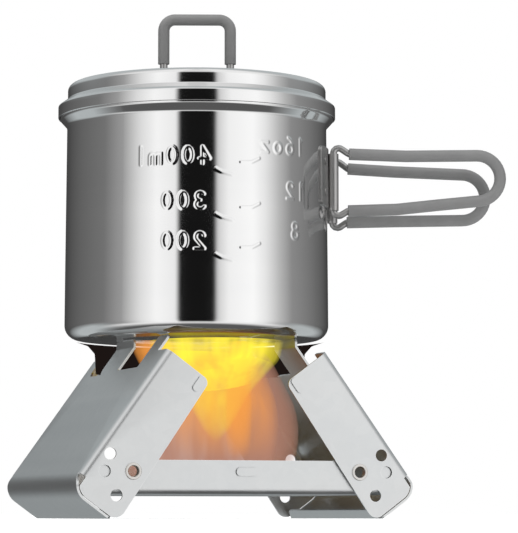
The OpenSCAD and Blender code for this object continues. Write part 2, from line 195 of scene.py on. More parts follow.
def new_group(name, inputs, outputs):
    """An empty shader group with float or vector sockets."""
    tree = bpy.data.node_groups.new(name, "ShaderNodeTree")
    for label, kind, value in inputs:
        socket = tree.interface.new_socket(label, in_out="INPUT", socket_type=kind)
        if value is not None:
            socket.default_value = value
    for label, kind in outputs:
        tree.interface.new_socket(label, in_out="OUTPUT", socket_type=kind)
    return tree, tree.nodes.new("NodeGroupInput"), tree.nodes.new("NodeGroupOutput")


# %% The painted edge highlight group
painted_edge_highlight, group_in, group_out = new_group(
    "painted_edge_highlight",
    [("Radius", "NodeSocketFloat", 0.0003), ("Sharpness", "NodeSocketFloat", 4.0)],
    [("Mask", "NodeSocketFloat")],
)
# The edge mask from the Bevel node drives a painted highlight in the base colour.
rounded_normal = node(painted_edge_highlight, "ShaderNodeBevel", samples=4)
true_normal = node(painted_edge_highlight, "ShaderNodeNewGeometry")
match = node(painted_edge_highlight, "ShaderNodeVectorMath", operation="DOT_PRODUCT")
away = node(painted_edge_highlight, "ShaderNodeMath", {0: 1.0}, operation="SUBTRACT")
sharpen = node(painted_edge_highlight, "ShaderNodeMath", operation="MULTIPLY", use_clamp=True)
join(
    painted_edge_highlight,
    ((group_in, "Radius"), (rounded_normal, "Radius")),
    ((rounded_normal, "Normal"), (match, 0)),
    ((true_normal, "Normal"), (match, 1)),
    ((match, "Value"), (away, 1)),
    ((away, 0), (sharpen, 0)),
    ((group_in, "Sharpness"), (sharpen, 1)),
    ((sharpen, 0), (group_out, "Mask")),
)

# %% The brushed line group
brushed_lines, group_in, group_out = new_group(
    "brushed_lines",
    [("Vector", "NodeSocketVector", None), ("Scale", "NodeSocketFloat", 400.0)],
    [("Lines", "NodeSocketFloat"), ("Smudges", "NodeSocketFloat")],
)
lines = node(brushed_lines, "ShaderNodeTexNoise", {"Detail": 4.0, "Roughness": 0.7})
smudges = node(brushed_lines, "ShaderNodeTexNoise", {"Scale": 55.0, "Detail": 3.0, "Distortion": 0.6})
join(
    brushed_lines,
    ((group_in, "Vector"), (lines, "Vector")),
    ((group_in, "Scale"), (lines, "Scale")),
    ((group_in, "Vector"), (smudges, "Vector")),
    ((lines, 0), (group_out, "Lines")),
    ((smudges, 0), (group_out, "Smudges")),
)

# %% [markdown]
# A finish is a Principled shader with those groups plugged in. The stretch sets the direction of the
# brushing: a small number along an axis makes long lines that run along that axis.

# %% Make a metal


def blend_colours(tree, amount, low, high):
    """A colour mix between two fixed colours, driven by a value output."""
    mix = node(tree, "ShaderNodeMix", {6: (*low, 1), 7: (*high, 1)}, data_type="RGBA")
    tree.links.new(amount, mix.inputs[0])
    return mix.outputs[2]


def spread(tree, value, low, high, start=0.3, stop=0.7):
    """Maps a noise value from its usual spread to the range low to high."""
    ramp = node(tree, "ShaderNodeMapRange", {1: start, 2: stop, 3: low, 4: high})
    tree.links.new(value, ramp.inputs[0])
    return ramp.outputs[0]


def brushed_metal(name, dark, light, edge_highlight_colour, rough, stretch=(1, 1, 1), line_bump=0.05, spangle=0.0):
    """Brushed sheet or wire: lines, smudges, a painted highlight on the edges and, if asked, zinc
    crystals.
    """
    material, tree = new_material(name)
    shader = tree.nodes["Principled BSDF"]
    shader.inputs["Metallic"].default_value = 1.0
    place = node(tree, "ShaderNodeTexCoord")
    turn = node(tree, "ShaderNodeMapping", {"Scale": stretch})
    lines = node(tree, "ShaderNodeGroup", {}, node_tree=brushed_lines)
    edges = node(tree, "ShaderNodeGroup", {}, node_tree=painted_edge_highlight)
    bump = node(tree, "ShaderNodeBump", {"Strength": line_bump, "Distance": 0.0001})
    join(
        tree,
        ((place, "Object"), (turn, "Vector")),
        ((turn, "Vector"), (lines, "Vector")),
        ((lines, "Lines"), (bump, "Height")),
        ((bump, "Normal"), (shader, "Normal")),
    )
    tone = spread(tree, lines.outputs["Smudges"], 0.0, 1.0)
    if spangle:
        cells = node(tree, "ShaderNodeTexVoronoi", {"Scale": 340.0})
        join(tree, ((place, "Object"), (cells, "Vector")))
        add = node(tree, "ShaderNodeMath", {1: spangle}, operation="MULTIPLY_ADD")
        bright = node(tree, "ShaderNodeSeparateColor")
        tree.links.new(cells.outputs["Color"], bright.inputs[0])
        tree.links.new(bright.outputs[0], add.inputs[0])
        tree.links.new(tone, add.inputs[2])
        tone = add.outputs[0]
    body_colour = blend_colours(tree, tone, dark, light)
    # Painted highlight: a brighter colour mixed into the base colour along the edges.
    edge_highlight_mix = node(tree, "ShaderNodeMix", {7: (*edge_highlight_colour, 1)}, data_type="RGBA")
    tree.links.new(edges.outputs["Mask"], edge_highlight_mix.inputs[0])
    tree.links.new(body_colour, edge_highlight_mix.inputs[6])
    tree.links.new(edge_highlight_mix.outputs[2], shader.inputs["Base Color"])
    tree.links.new(
        spread(tree, lines.outputs["Smudges"], rough[0], rough[1]), shader.inputs["Roughness"]
    )
    return material


# %% The metals of this stove
# The third colour of each metal is its painted edge highlight.
galvanised = brushed_metal(
    "galvanised sheet", (0.68, 0.695, 0.70), (0.76, 0.77, 0.77), (0.95, 0.95, 0.95),
    rough=(0.34, 0.42), stretch=(1, 0.05, 1), line_bump=0.05, spangle=0.25,
)
polished = brushed_metal(
    "polished steel", (0.80, 0.80, 0.80), (0.84, 0.838, 0.835), (0.9, 0.9, 0.9),
    rough=(0.07, 0.10), stretch=(0.03, 0.03, 1), line_bump=0.015,
)
satin = brushed_metal(
    "satin steel", (0.44, 0.435, 0.43), (0.54, 0.535, 0.53), (0.75, 0.75, 0.75),
    rough=(0.34, 0.46), stretch=(1, 1, 0.1), line_bump=0.05,
)
rivet_metal = brushed_metal(
    "rivet steel", (0.62, 0.60, 0.57), (0.72, 0.70, 0.68), (0.92, 0.92, 0.9),
    rough=(0.24, 0.34), line_bump=0.05,
)
print("metals:", [m.name for m in (galvanised, polished, satin, rivet_metal)])

# %% [markdown]
# The grips are a dull grey sleeve with a very fine grain. The fuel is a pressed white powder, so it is
# chalky, slightly yellow in places and has pores.

# %% The sleeve and the fuel


def grained(name, dark, light, rough, grain, grain_bump, blotch):
    """A non-metal with fine grain in its surface and soft blotches in its colour."""
    material, tree = new_material(name)
    shader = tree.nodes["Principled BSDF"]
    place = node(tree, "ShaderNodeTexCoord")
    fine = node(tree, "ShaderNodeTexNoise", {"Scale": grain, "Detail": 5.0, "Roughness": 0.65})
    coarse = node(tree, "ShaderNodeTexNoise", {"Scale": blotch, "Detail": 3.0})
    bump = node(tree, "ShaderNodeBump", {"Strength": grain_bump, "Distance": 0.0002})
    join(
        tree,
        ((place, "Object"), (fine, "Vector")),
        ((place, "Object"), (coarse, "Vector")),
        ((fine, 0), (bump, "Height")),
        ((bump, "Normal"), (shader, "Normal")),
    )
    tree.links.new(blend_colours(tree, coarse.outputs[0], dark, light), shader.inputs["Base Color"])
    tree.links.new(spread(tree, fine.outputs[0], rough[0], rough[1]), shader.inputs["Roughness"])
    return material


sleeve_grey = grained(
    "grey sleeve", (0.165, 0.165, 0.165), (0.21, 0.21, 0.208), (0.42, 0.58), 2600.0, 0.25, 160.0
)
fuel_white = grained(
    "pressed fuel", (0.72, 0.70, 0.62), (0.88, 0.87, 0.84), (0.75, 0.95), 1400.0, 0.8, 220.0
)

# %% [markdown]
# ## The legs
# A real leg starts as one flat blank. The holes and the outline are punched, then the sides, the end
# and the foot are bent up. The same order works here: fill a flat outline, cut fold lines across it,
# and roll the points round each bend. The sheet then gets its thickness and softly broken edges.

# %% Sheet-metal helpers


def flat_sheet(outline, holes=()):
    """A flat face with the given outline and round holes of (x, y, radius)."""
    bm = bmesh.new()
    corners = [bm.verts.new((x, y, 0)) for x, y in outline]
    for a, b in zip(corners, corners[1:] + corners[:1]):
        bm.edges.new((a, b))
    for x, y, radius in holes:
        spot = Matrix.Translation((x, y, 0))
        bmesh.ops.create_circle(bm, segments=32, radius=radius, matrix=spot)
    bmesh.ops.triangle_fill(bm, use_beauty=True, edges=bm.edges)
    return bm


def fold_lines(bm, axis, places):
    """Cuts the sheet along straight lines, so that it can bend there."""
    normal = Vector((1, 0, 0)) if axis == "x" else Vector((0, 1, 0))
    for place in places:
        everything = bm.verts[:] + bm.edges[:] + bm.faces[:]
        bmesh.ops.bisect_plane(bm, geom=everything, plane_co=normal * place, plane_no=normal)


def bend_lines(start, radius, angle, pieces):
    """The fold lines of a bend that starts at a place and turns by an angle in degrees."""
    return [start + radius * radians(angle) * k / pieces for k in range(pieces + 1)]


def bend(distance, radius, angle):
    """A point this far past the start of a bend: how far it gets along, and across."""
    full = radians(angle)
    turned = min(max(distance / radius, 0), full)
    rest = max(distance - radius * full, 0)
    along = min(distance, 0) + radius * sin(turned) + rest * cos(full)
    return along, radius * (1 - cos(turned)) + rest * sin(full)


def thicken(piece, thickness, edge_round):
    """Gives a bent sheet its thickness and broken edges."""
    solid = piece.modifiers.new("sheet thickness", "SOLIDIFY")
    solid.thickness = thickness * MM
    solid.offset = 0
    soft = piece.modifiers.new("broken edges", "BEVEL")
    soft.width = edge_round * MM
    soft.segments = 2
    soft.limit_method = "ANGLE"
    soft.angle_limit = radians(50)
    soft.harden_normals = True


# %% Sizes of a leg, in its own frame: u along the leg, y across it, v out through its back
SHEET = 0.8
EDGE_ROUND = 0.14
HALF_WIDTH = box_mm("left_leg")[1].y
RIVET_HOLE, SMALL_HOLE, HOLE_CIRCLE = 2.3, 2.1, 9.95
rivet = joint_place("left_leg_fold")
LEAN = joints["left_leg_fold"]["range_deg"][1]
BACK = 14.6 - SHEET / 2
UP, DOWN = 40.6, 18.0
SIDE_BEND, END_BEND, FOOT_BEND, TIP_BEND = 2.0, 6.1, 0.8, 1.0
SIDE_START = HALF_WIDTH - SHEET / 2 - SIDE_BEND
END_START = DOWN - SHEET / 2 - END_BEND
FOOT_V = -2.0
END_PLATE = BACK - END_BEND - FOOT_V
SIDE_FLAT = SIDE_START + SIDE_BEND * pi / 2 + BACK - SIDE_BEND
FOOT_START = END_BEND * pi / 2 + END_PLATE
TIP_START = 44.2
print(f"an open leg leans {LEAN:.0f} degrees")

# %% [markdown]
# The top edge carries two tabs for the pot, a deep notch that takes the other leg's wide tab, and a
# slot for its narrow one. The blank is slit beside the end plate, where the round end meets the sides.

# %% Outline of the leg's blank
pot_base = pot_low.z
reach = (pot_base - 0.1 - rivet.z - BACK * cos(radians(LEAN))) / sin(radians(LEAN))
narrow_tip = reach - 0.35
upright = pot_base - 0.05 - (rivet.z + TIP_START * sin(radians(LEAN)) + BACK * cos(radians(LEAN)))
wide_tip = TIP_START + upright * 1.01
FOOT_LENGTH = FOOT_START + FOOT_BEND * pi / 2


def leg_side_corners():
    """One side of the blank, from the upper free corner down to the middle of the lip."""
    slit = SIDE_FLAT - 12.2
    low_v = BACK + SHEET / 2 - 6.5
    corners = [((UP, SIDE_FLAT + 3.9), 2.5), ((-16.9, SIDE_FLAT + 5.7), 3.5)]
    for point in arc((-11.5, SIDE_FLAT - low_v), 5.4, 180, 229, 5):
        corners.append((tuple(point), 0))
    corners += [
        ((-11.25, slit), 0),
        ((-11.25, SIDE_START - 0.2), 0),
        ((-END_START - 0.2, SIDE_START - 0.2), 0),
        ((-END_START - 3.4, HALF_WIDTH), 3.0),
        ((-END_START - FOOT_START, HALF_WIDTH), 0.4),
        ((-END_START - FOOT_LENGTH, HALF_WIDTH - 2.6), 0.8),
        ((-END_START - FOOT_LENGTH - 3.0, HALF_WIDTH - 5.6), 0.8),
    ]
    return corners


side = leg_side_corners()
other_side = [((x, -y), r) for (x, y), r in reversed(side)]
top_edge = [
    ((UP, -34.1), 0.2), ((narrow_tip, -34.1), 1.5), ((narrow_tip, -23.0), 1.5),
    ((UP - 6.6, -23.0), 0.8), ((UP - 6.6, 1.0), 0.8),
    ((wide_tip, 1.0), 1.5), ((wide_tip, 22.2), 1.5),
    ((UP - 7.7, 22.2), 3.0), ((UP - 7.7, 35.1), 3.0), ((UP, 35.1), 0.4),
]
leg_outline = rounded(side + other_side + top_edge)
leg_holes = [(0, s * SIDE_FLAT, RIVET_HOLE) for s in (-1, 1)]
for turn in (90, 180 - LEAN, 180):
    u, v = HOLE_CIRCLE * cos(radians(turn)), HOLE_CIRCLE * sin(radians(turn))
    leg_holes += [(u, s * (SIDE_FLAT - v), SMALL_HOLE) for s in (-1, 1)]
blank_width = 2 * max(point.y for point in leg_outline)
print(f"a leg's blank is {blank_width:.1f} mm wide and has {len(leg_holes)} holes")

# %% Bend the blank into a leg


def leg_point(s, w):
    """Where a point of the flat blank lands after every bend: u, y, v."""
    side_sign = 1 if w > 0 else -1
    if s < -END_START and abs(w) <= HALF_WIDTH + 0.01:
        along, down = bend(-END_START - s, END_BEND, 90)
        past_foot = -END_START - s - FOOT_START
        if past_foot <= 0:
            return -END_START - along, w, BACK - down
        along, back = bend(past_foot, FOOT_BEND, 90)
        return -END_START - END_BEND + back, w, FOOT_V - along
    across, down = bend(abs(w) - SIDE_START, SIDE_BEND, 90)
    if s > TIP_START and 0.5 < w < 23:
        along, out = bend(s - TIP_START, TIP_BEND, 90 - LEAN)
        return TIP_START + along, w, BACK + out
    return s, side_sign * (SIDE_START + across) if w else 0, BACK - down


def leg_blank():
    """A bent leg as a thin sheet, in its own frame."""
    bm = flat_sheet(leg_outline, leg_holes)
    for s in (-1, 1):
        fold_lines(bm, "y", [s * place for place in bend_lines(SIDE_START, SIDE_BEND, 90, 6)])
    fold_lines(bm, "x", [-END_START - x for x in bend_lines(0, END_BEND, 90, 12)])
    fold_lines(bm, "x", [-END_START - x for x in bend_lines(FOOT_START, FOOT_BEND, 90, 5)])
    fold_lines(bm, "x", bend_lines(TIP_START, TIP_BEND, 90 - LEAN, 4))
    for vert in bm.verts:
        vert.co = leg_point(vert.co.x, vert.co.y)
    return bm


# The middle of the sheet keeps its own half thickness, and a hair, above the ground.
LOWEST_MIDDLE = 0.41
LEFT_LEG = Matrix.Translation(rivet) @ Matrix.Rotation(radians(-LEAN), 4, "Y")
RIGHT_LEG = HALF_TURN @ LEFT_LEG
for side_name, place in (("left", LEFT_LEG), ("right", RIGHT_LEG)):
    body = side_name + "_leg"
    leg = finish_piece(
        body + "_sheet", leg_blank(), place, body, galvanised, [body], outward=False
    )
    thicken(leg, SHEET, EDGE_ROUND)
    for vert in leg.data.vertices:
        vert.co.z = max(vert.co.z, LOWEST_MIDDLE * MM)

# %% [markdown]
# Small ribs are pressed into the sheet. A pressed boss is a disc whose rings are inset and raised in
# steps of a cosine, so it rises out of the sheet without a hard line. Pulling its two halves apart
# makes a long rib of it. It faces the front or the back, and its rim is sunk a hair into the sheet.

# %% Pressed bosses


def pressed_boss(length, width, height, slope=0.3):
    """A soft-edged pill standing on the XY plane, as a bmesh."""
    bm = bmesh.new()
    bmesh.ops.create_circle(bm, cap_ends=True, segments=32, radius=width / 2)
    cap = bm.faces[:]
    steps = 7
    for k in range(steps):
        rise = (cos(pi * k / steps) - cos(pi * (k + 1) / steps)) / 2 * height
        bmesh.ops.inset_region(bm, faces=cap, thickness=width * slope / steps, depth=0)
        bmesh.ops.translate(bm, verts=cap[0].verts[:], vec=(0, 0, rise))
    for vert in bm.verts:
        if abs(vert.co.x) > 1e-4:
            vert.co.x += (length - width) / 2 * (1 if vert.co.x > 0 else -1)
    return bm


def add_boss(bm, boss, place):
    """Puts a placed copy of a boss into a bmesh that gathers several."""
    bmesh.ops.transform(boss, matrix=place, verts=boss.verts)
    mesh = bpy.data.meshes.new("boss")
    boss.to_mesh(mesh)
    boss.free()
    bm.from_mesh(mesh)
    bpy.data.meshes.remove(mesh)


FACING = {s: Matrix.Rotation(-s * pi / 2, 4, "X") for s in (-1, 1)}
SUNK = 0.03
for side_name, place in (("left", LEFT_LEG), ("right", RIGHT_LEG)):
    ribs = bmesh.new()
    for s in (-1, 1):
        stand = Matrix.Translation((UP - 3.1, s * (HALF_WIDTH - SUNK), -1.2))
        add_boss(ribs, pressed_boss(5.8, 2.5, 0.5), stand @ FACING[s])
    body = side_name + "_leg"
    finish_piece(body + "_ribs", ribs, place, body, galvanised, outward=False)

# %% [markdown]
# ## The tray
# The tray is bent from one blank too: a floor, two walls and a low lip at each end that keeps the fuel
# from sliding out.

# %% Tray
tray_low, tray_high = box_mm("tray")
TRAY_HALF = tray_high.x
TRAY_Y = HALF_WIDTH - SHEET - 0.5
TRAY_BEND = 2.1
FLOOR = tray_low.z + SHEET / 2
WALL_START = TRAY_Y - SHEET / 2 - TRAY_BEND
WALL_FLAT = WALL_START + TRAY_BEND * pi / 2 + tray_high.z - FLOOR - TRAY_BEND
LIP_START, LIP_BEND = 50.5, 0.7


def tray_end_corners(end):
    """One end of the tray's blank, from its +y wall to its -y wall."""
    half = [
        ((end * TRAY_HALF, WALL_FLAT), 3.5), ((end * TRAY_HALF, 42.3), 0.5),
        ((end * 50.4, 42.3), 0.4), ((end * 50.4, 40.5), 0.4), ((end * 54.1, 40.5), 1.2),
    ]
    return half + [((x, -y), r) for (x, y), r in reversed(half)]


def tray_point(s, w):
    """Where a point of the tray's blank lands: x, y, z."""
    if abs(w) < 41 and abs(s) > LIP_START:
        along, up = bend(abs(s) - LIP_START, LIP_BEND, 90)
        return (LIP_START + along) * (1 if s > 0 else -1), w, FLOOR + up
    across, up = bend(abs(w) - WALL_START, TRAY_BEND, 90)
    return s, (WALL_START + across) * (1 if w > 0 else -1), FLOOR + up


tray_outline = rounded(tray_end_corners(1) + tray_end_corners(-1)[::-1])
rivet_flat = WALL_FLAT - (tray_high.z - rivet.z)
tray_holes = [(s * -rivet.x, t * rivet_flat, RIVET_HOLE) for s in (-1, 1) for t in (-1, 1)]
tray_bm = flat_sheet(tray_outline, tray_holes)
for s in (-1, 1):
    fold_lines(tray_bm, "y", [s * place for place in bend_lines(WALL_START, TRAY_BEND, 90, 6)])
    fold_lines(tray_bm, "x", [s * place for place in bend_lines(LIP_START, LIP_BEND, 90, 4)])
for vert in tray_bm.verts:
    vert.co = tray_point(vert.co.x, vert.co.y)
tray = finish_piece(
    "tray_sheet", tray_bm, Matrix(), "stove", galvanised, ["tray"], outward=False
)
thicken(tray, SHEET, EDGE_ROUND)

# %% Ribs and locating bumps on the tray's walls
bumps = bmesh.new()
for s in (-1, 1):
    wall = s * (TRAY_Y - SUNK)
    middle = Matrix.Translation((0.2, wall, tray_low.z + 7.8))
    add_boss(bumps, pressed_boss(8.2, 2.9, 0.6), middle @ FACING[s])
    for x in (-1, 1):
        spot = Matrix.Translation((x * (abs(rivet.x) + HOLE_CIRCLE), wall, rivet.z))
        add_boss(bumps, pressed_boss(3.9, 3.9, 0.5, slope=0.46), spot @ FACING[s])
finish_piece("tray_ribs", bumps, Matrix(), "stove", galvanised, outward=False)

# %% [markdown]
# ## Things made on a lathe
# Rivets, the pot, the lid and the hinge barrels are all round, so each is a profile spun round an
# axis. The profile runs along both sides of a wall, which gives the wall its thickness in one go.

# %% Spin a profile


def spun(profile, segments=64, closed=True, turn=2 * pi):
    """Spins a flat profile of (radius, height) points round the Z axis."""
    bm = bmesh.new()
    ring = [bm.verts.new((r, 0, z)) for r, z in profile]
    for a, b in zip(ring, ring[1:] + (ring[:1] if closed else [])):
        bm.edges.new((a, b))
    bmesh.ops.spin(
        bm, geom=bm.verts[:] + bm.edges[:], cent=(0, 0, 0), axis=(0, 0, 1),
        angle=turn, steps=segments, use_merge=turn > 6,
    )
    return bm


# %% Hollow rivets
RIVET_BORE, RIVET_SHANK, RIVET_HEAD = 1.9, 2.25, 2.9
HEAD_GAP, HEAD_TOP = 0.03, 0.36
inner = TRAY_Y - SHEET
outer = HALF_WIDTH
rivet_profile = rounded([
    ((RIVET_BORE, inner - HEAD_TOP), 0.15), ((RIVET_HEAD, inner - HEAD_TOP), 0.14),
    ((RIVET_HEAD, inner - HEAD_GAP), 0.08), ((RIVET_SHANK, inner - HEAD_GAP), 0),
    ((RIVET_SHANK, outer + HEAD_GAP), 0), ((RIVET_HEAD, outer + HEAD_GAP), 0.08),
    ((RIVET_HEAD, outer + HEAD_TOP), 0.22), ((RIVET_BORE, outer + HEAD_TOP), 0.2),
], steps=4)
for end, y_sign in (("front", -1), ("rear", 1)):
    for side_name, x_sign in (("left", -1), ("right", 1)):
        stand = Matrix.Translation((x_sign * abs(rivet.x), 0, rivet.z))
        name = f"rivet_{end}_{side_name}"
        finish_piece(
            name + "_hollow", spun(rivet_profile, 40), stand @ FACING[y_sign], "stove",
            rivet_metal, [name],
        )

# %% [markdown]
# ## The pot
# The pot's wall is one deep-drawn shell with a rolled rim. Its measuring marks are stamped from the
# inside, so from outside they stand proud and read backwards. Spinning the part of the wall that
# carries them in very small steps leaves enough points to raise each stroke by 0.18 mm.

# %% Profile of the pot
WALL = 0.7
pot_top = pot_high.z
BASE_R, NECK_R, RIM_R = 47.0, 46.4, 48.9
flare_low, flare_high = pot_top - 7.0, pot_top - 4.3
MARKS_LOW, MARKS_HIGH = pot_base + 22.0, pot_base + 70.5
MARKS_LEFT, MARKS_RIGHT = -33, 62
MARK_STEP = 0.28
rows = int((MARKS_HIGH - MARKS_LOW) / MARK_STEP)


def wall_radius(z):
    """Outside radius of the pot's slightly tapered wall."""
    part = (z - pot_base - 5) / (flare_low - pot_base - 5)
    return BASE_R + (NECK_R - BASE_R) * min(max(part, 0), 1)


outside = rounded([
    ((0, pot_base + 0.6), 0), ((26, pot_base + 0.6), 2), ((28, pot_base), 2),
    ((BASE_R, pot_base), 5.0), ((wall_radius(MARKS_LOW), MARKS_LOW), 0),
], closed=False, steps=8)
for k in range(1, rows + 1):
    z = MARKS_LOW + (MARKS_HIGH - MARKS_LOW) * k / rows
    outside.append(Vector((wall_radius(z), z)))
rim = rounded([
    ((wall_radius(MARKS_HIGH), MARKS_HIGH), 0), ((NECK_R, flare_low), 2.2), ((RIM_R, flare_high), 1.6),
    ((RIM_R, pot_top), 0.3), ((RIM_R - WALL, pot_top), 0.3), ((RIM_R - WALL, flare_high + 0.3), 1.4),
    ((NECK_R - WALL, flare_low + 0.3), 2.4), ((BASE_R - WALL, pot_base + WALL), 4.3),
    ((28, pot_base + WALL), 2), ((26, pot_base + 0.6 + WALL), 2), ((0, pot_base + 0.6 + WALL), 0),
], closed=False, steps=6)
pot_profile = outside + rim[1:]
print(len(pot_profile), "points in the pot's profile")

# %% Strokes of the measuring marks


def oval(cx, cy, rx, ry, start=0, stop=360, steps=14):
    """An oval stroke, or part of one, as a list of points."""
    turns = [radians(start + (stop - start) * k / steps) for k in range(steps + 1)]
    return [(cx + rx * cos(t), cy + ry * sin(t)) for t in turns]


GLYPHS = {
    "0": [oval(0.31, 0.5, 0.25, 0.46)],
    "1": [[(0.2, 0.82), (0.36, 0.98), (0.36, 0.02)]],
    "2": [oval(0.3, 0.7, 0.24, 0.26, 165, -30, 8) + [(0.06, 0.04), (0.58, 0.04)]],
    "3": [oval(0.28, 0.73, 0.23, 0.23, 150, -90, 8), oval(0.28, 0.26, 0.26, 0.24, 90, -150, 8)],
    "4": [[(0.44, 0.0), (0.44, 0.98), (0.04, 0.3), (0.62, 0.3)]],
    "6": [oval(0.31, 0.29, 0.25, 0.27), [(0.06, 0.3), (0.1, 0.6), (0.24, 0.84), (0.44, 0.96)]],
    "8": [oval(0.3, 0.74, 0.21, 0.21), oval(0.3, 0.27, 0.26, 0.25)],
    "m": [
        [(0.0, 0.0), (0.0, 0.62)],
        oval(0.17, 0.42, 0.17, 0.18, 180, 0, 6) + [(0.34, 0.0)],
        oval(0.51, 0.42, 0.17, 0.18, 180, 0, 6) + [(0.68, 0.0)],
    ],
    "l": [[(0.3, 0.0), (0.3, 1.0)]],
    "o": [oval(0.31, 0.3, 0.25, 0.29)],
    "z": [[(0.06, 0.58), (0.54, 0.58), (0.06, 0.02), (0.58, 0.02)]],
}
TALL, ADVANCE = 6.1, 5.7


def word(text, first, height):
    """Strokes of a word in (arc length, height). It runs to the left, as it is stamped from inside."""
    made = []
    for i, sign in enumerate(text):
        for stroke in GLYPHS[sign]:
            made.append([(first - i * ADVANCE - x * TALL, height + (y - 0.5) * TALL) for x, y in stroke])
    return made


ML_START, OZ_START = 4.6, 43.6
scale_steps = [pot_base + 60.7, pot_base + 45.1, pot_base + 31.3]
marks = []
for text, height in zip(("400ml", "300", "200"), scale_steps):
    marks += word(text, ML_START if text == "400ml" else ML_START - 1.7, height)
    marks.append([(6.4, height - 4.6), (8.6, height - 5.7), (12.6, height - 6.6)])
for text, height in zip(("16oz", "12", "8"), [h + 4.8 for h in scale_steps]):
    marks += word(text, OZ_START if len(text) > 1 else OZ_START - 0.6 * ADVANCE, height)
    marks.append([(15.6, height - 7.0), (19.6, height - 6.8), (22.4, height - 5.4)])
print(len(marks), "strokes")

# %% Raise the wall along the strokes


def distance_to_strokes(points, strokes):
    """Distance from each point to the nearest stroke."""
    nearest = np.full(len(points), 1e9)
    for stroke in strokes:
        for a, b in zip(np.array(stroke[:-1], float), np.array(stroke[1:], float)):
            run = b - a
            t = np.clip(((points - a) @ run) / (run @ run), 0, 1)
            gap = points - a - t[:, None] * run
            nearest = np.minimum(nearest, np.hypot(gap[:, 0], gap[:, 1]))
    return nearest


def pot_shell():
    """The pot in its own frame, whose -y side carries the marks."""
    bm = bmesh.new()
    ring = [bm.verts.new((r, 0, z)) for r, z in pot_profile]
    edges = [bm.edges.new(pair) for pair in zip(ring, ring[1:])]
    first, last = radians(-90 + MARKS_LEFT), radians(-90 + MARKS_RIGHT)
    bmesh.ops.rotate(bm, matrix=Matrix.Rotation(first, 3, "Z"), verts=bm.verts, cent=(0, 0, 0))
    fine_steps = int(BASE_R * (last - first) / MARK_STEP)
    turned = bmesh.ops.spin(
        bm, geom=ring + edges, cent=(0, 0, 0), axis=(0, 0, 1), angle=last - first, steps=fine_steps
    )
    bmesh.ops.spin(
        bm, geom=turned["geom_last"], cent=(0, 0, 0), axis=(0, 0, 1),
        angle=2 * pi - (last - first), steps=96,
    )
    bmesh.ops.remove_doubles(bm, verts=bm.verts, dist=1e-3)
    return bm


pot_bm = pot_shell()
wall_verts = [
    v for v in pot_bm.verts
    if MARKS_LOW < v.co.z < MARKS_HIGH and hypot(v.co.x, v.co.y) > wall_radius(v.co.z) - 0.1
]
flat_places = np.array([(BASE_R * atan2(v.co.x, -v.co.y), v.co.z) for v in wall_verts])
gaps = distance_to_strokes(flat_places, marks)
STROKE_HALF, STROKE_SIDE, STROKE_RISE = 0.28, 0.46, 0.18
lift = np.clip((STROKE_HALF + STROKE_SIDE - gaps) / STROKE_SIDE, 0, 1)
lift = lift * lift * (3 - 2 * lift) * STROKE_RISE
for vert, rise in zip(wall_verts, lift):
    outward = Vector((vert.co.x, vert.co.y, 0)).normalized()
    vert.co += outward * rise
finish_piece("pot_shell", pot_bm, ON_POT, "pot", polished, ["pot_body"])
print(f"{len(wall_verts)} points on the marked wall, raised up to {lift.max():.2f} mm")

# %% [markdown]
# The lid is pressed from thinner sheet: a skirt that hangs over the rim, a sloping shoulder, a short
# upright crown and a gently domed top.

# %% Lid
lid_low, lid_high = box_mm("lid_shell")
LID = 0.6
SKIRT_R, CROWN_R = 49.6, 46.2
skirt_top = lid_low.z + 4.2
crown_foot, crown_edge = skirt_top + 2.4, skirt_top + 7.7


def dome(x, peak):
    """Height of the domed top at a distance from the middle."""
    return peak - (peak - crown_edge) * (x / CROWN_R) ** 2


lid_profile = rounded([
    ((0, lid_high.z), 0), ((16, dome(16, lid_high.z)), 60), ((32, dome(32, lid_high.z)), 60),
    ((CROWN_R, crown_edge), 2.2),
    ((CROWN_R, crown_foot), 0.5), ((SKIRT_R, skirt_top), 0.7),
    ((SKIRT_R, lid_low.z), 0.28), ((SKIRT_R - LID, lid_low.z), 0.28),
    ((SKIRT_R - LID, skirt_top - 0.4), 0.4), ((CROWN_R - LID, crown_foot - 0.4), 0.4),
    ((CROWN_R - LID, crown_edge - LID), 1.6),
    ((32, dome(32, lid_high.z) - LID), 60), ((16, dome(16, lid_high.z) - LID), 60),
    ((0, lid_high.z - LID), 0),
], closed=False)
finish_piece(
    "lid_pressing", spun(lid_profile, 160, closed=False), ON_POT, "lid", polished,
    ["lid_shell"],
)

# %% [markdown]
# ## Wires and sleeves
# A bent wire is a circle that follows a path. The quickest way is a curve with a round bevel that is
# turned into a mesh. A sleeve is the same path with a bigger circle, left open at its ends and given a
# wall, so the wire can be seen going in.

# %% Bars along a path


def bar(path, radius, hollow=0.0, sides=7):
    """A round bar or tube along a path of 3-D points, as a bmesh."""
    curve = bpy.data.curves.new("path", "CURVE")
    curve.dimensions = "3D"
    line = curve.splines.new("POLY")
    line.points.add(len(path) - 1)
    for point, place in zip(line.points, path):
        point.co = (*place, 1)
    curve.bevel_depth = radius
    curve.bevel_resolution = sides
    curve.use_fill_caps = hollow == 0
    holder = bpy.data.objects.new("path", curve)
    mesh = bpy.data.meshes.new_from_object(holder)
    bm = bmesh.new()
    bm.from_mesh(mesh)
    bpy.data.objects.remove(holder)
    bpy.data.curves.remove(curve)
    bpy.data.meshes.remove(mesh)
    bmesh.ops.remove_doubles(bm, verts=bm.verts, dist=1e-4)
    bmesh.ops.recalc_face_normals(bm, faces=bm.faces)
    if hollow:
        bmesh.ops.solidify(bm, geom=bm.faces[:], thickness=hollow)
    return bm


def in_plane(points):
    """Points of (x, z) stood up in the XZ plane."""
    return [Vector((p[0], 0, p[1])) for p in points]


